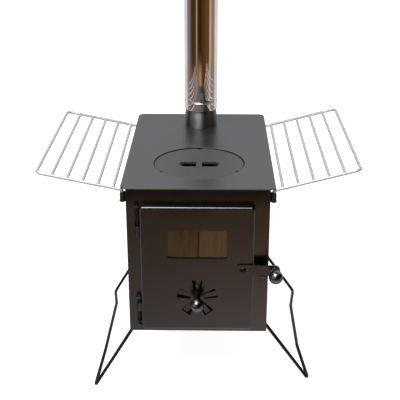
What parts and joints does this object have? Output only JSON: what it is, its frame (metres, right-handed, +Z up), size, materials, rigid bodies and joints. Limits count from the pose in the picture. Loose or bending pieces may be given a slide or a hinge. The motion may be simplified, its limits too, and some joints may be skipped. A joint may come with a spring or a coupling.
{
  "type": "tent wood stove",
  "caption": "Portable steel wood stove with a glazed front door, swing latch, air rosette, cooking lid, flue pipe, side racks and folding wire legs.",
  "frame": {"origin": "on the ground, under the middle of the bounding box", "axes": "+X to the right of a person facing the door, +Y to the rear, +Z up"},
  "size_m": [0.512, 0.4386, 0.7079],
  "materials": {
    "plate_enamel": "satin black heat-proof paint, slightly worn grey",
    "body_enamel": "semi-gloss black-brown heat-proof paint",
    "inner_steel": "matt black heat-proof paint, sooty",
    "pipe_steel": "mirror-polished stainless steel",
    "rack_steel": "bright plated wire",
    "fastener_steel": "plain steel",
    "leg_enamel": "satin black paint",
    "socket_black": "ribbed, black paint",
    "knob_black": "glossy black heat-proof plastic",
    "grate_iron": "bare scaled steel",
    "rope_fibre": "braided glass fibre rope",
    "tape_fibre": "black woven fibre tape",
    "stove_glass": "clear heat-proof glass"
  },
  "bodies": {
    "stove_body": {"top_plate": "plate_enamel", "body_wrapper": "body_enamel", "front_panel": "body_enamel", "floor_sheet": "body_enamel", "lid_seat_ring": "plate_enamel", "flue_collar": "plate_enamel", "fire_grate": "grate_iron", "hinge_bracket_upper": "body_enamel", "hinge_bracket_lower": "body_enamel", "hinge_pins": "fastener_steel", "latch_keeper": "body_enamel", "rack_sockets_left": "socket_black", "rack_sockets_right": "socket_black", "leg_tabs_left": "body_enamel", "leg_tabs_right": "body_enamel"},
    "lid": {"cooking_lid": "plate_enamel", "lid_lifter_cup": "inner_steel"},
    "pipe": {"flue_pipe": "pipe_steel"},
    "door": {"door_pan": "body_enamel", "window_glass": "stove_glass", "glass_tape": "tape_fibre", "glass_retainer": "inner_steel", "retainer_studs": "fastener_steel", "retainer_nuts": "fastener_steel", "gasket_channel": "inner_steel", "gasket_rope": "rope_fibre", "door_knuckles": "body_enamel", "latch_rivet": "inner_steel", "air_washer": "fastener_steel"},
    "air_control": {"air_disc": "body_enamel", "air_spindle": "fastener_steel", "air_spring": "fastener_steel", "air_nut": "fastener_steel", "air_knob": "knob_black"},
    "latch": {"latch_strap": "body_enamel", "latch_washer": "fastener_steel", "latch_stud": "fastener_steel", "latch_knob_washer": "fastener_steel", "latch_knob": "knob_black"},
    "rack_l": {"rack_left": "rack_steel"},
    "rack_r": {"rack_right": "rack_steel"},
    "leg_l": {"leg_left": "leg_enamel"},
    "leg_r": {"leg_right": "leg_enamel"}
  },
  "joints": [
    {"name": "door_hinge", "type": "hinge", "parent": "stove_body", "child": "door", "pos_m": [-0.0958, -0.17615, 0.2375], "axis": [0, 0, -1], "range_deg": [0, 105]},
    {"name": "latch_pivot", "type": "hinge", "parent": "door", "child": "latch", "pos_m": [0.0726, -0.18415, 0.2396], "axis": [0, -1, 0], "range_deg": [-4, 95]},
    {"name": "air_control_turn", "type": "hinge", "parent": "door", "child": "air_control", "pos_m": [-0.0009, -0.18115, 0.1862], "axis": [0, -1, 0], "continuous": true},
    {"name": "lid_lift", "type": "slide", "parent": "stove_body", "child": "lid", "axis": [0, 0, 1], "range_m": [0, 0.1]},
    {"name": "pipe_lift", "type": "slide", "parent": "stove_body", "child": "pipe", "axis": [0, 0, 1], "range_m": [0, 0.06]},
    {"name": "rack_left_unhook", "type": "slide", "parent": "stove_body", "child": "rack_l", "axis": [-1, 0, 0], "range_m": [0, 0.03]},
    {"name": "rack_right_unhook", "type": "slide", "parent": "stove_body", "child": "rack_r", "axis": [1, 0, 0], "range_m": [0, 0.03]},
    {"name": "leg_left_fold", "type": "hinge", "parent": "stove_body", "child": "leg_l", "pos_m": [-0.1085, 0.00685, 0.1204], "axis": [0, -1, 0], "range_deg": [0, 111]},
    {"name": "leg_right_fold", "type": "hinge", "parent": "stove_body", "child": "leg_r", "pos_m": [0.1085, 0.02685, 0.1204], "axis": [0, 1, 0], "range_deg": [0, 125]}
  ]
}
